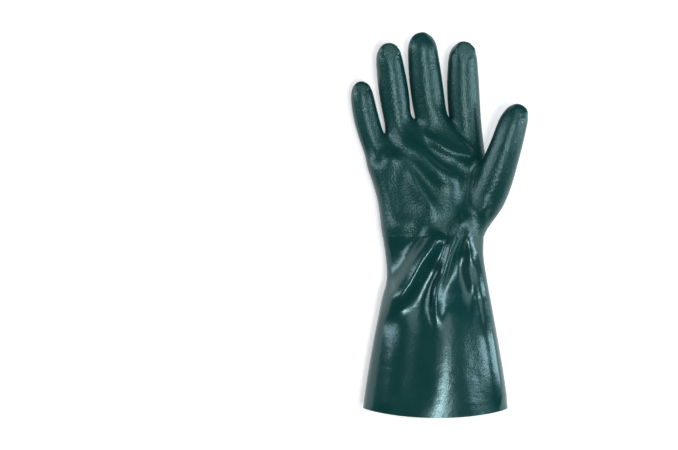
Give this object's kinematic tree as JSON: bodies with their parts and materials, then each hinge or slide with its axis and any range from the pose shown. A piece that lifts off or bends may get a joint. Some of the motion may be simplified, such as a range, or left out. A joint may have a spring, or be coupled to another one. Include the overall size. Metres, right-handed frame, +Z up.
{
  "type": "pvc coated work glove",
  "caption": "Right-hand PVC coated gauntlet work glove: rough-finished hand with fingers and thumb, on a smooth flared sleeve cuff, lying palm up.",
  "frame": {"origin": "centre of the bounding box, on the surface that the back of the glove rests on", "axes": "+X across the hand towards the thumb, +Y along the glove from the open rim to the fingertips, +Z up out of the palm"},
  "size_m": [0.1616, 0.351, 0.0608],
  "materials": {
    "smooth_coat": "smooth semi-gloss dark green PVC",
    "rough_coat": "fine sandy-grained dark green PVC"
  },
  "bodies": {
    "root": {"gauntlet_cuff": "smooth_coat", "hand": "rough_coat"}
  },
  "joints": []
}
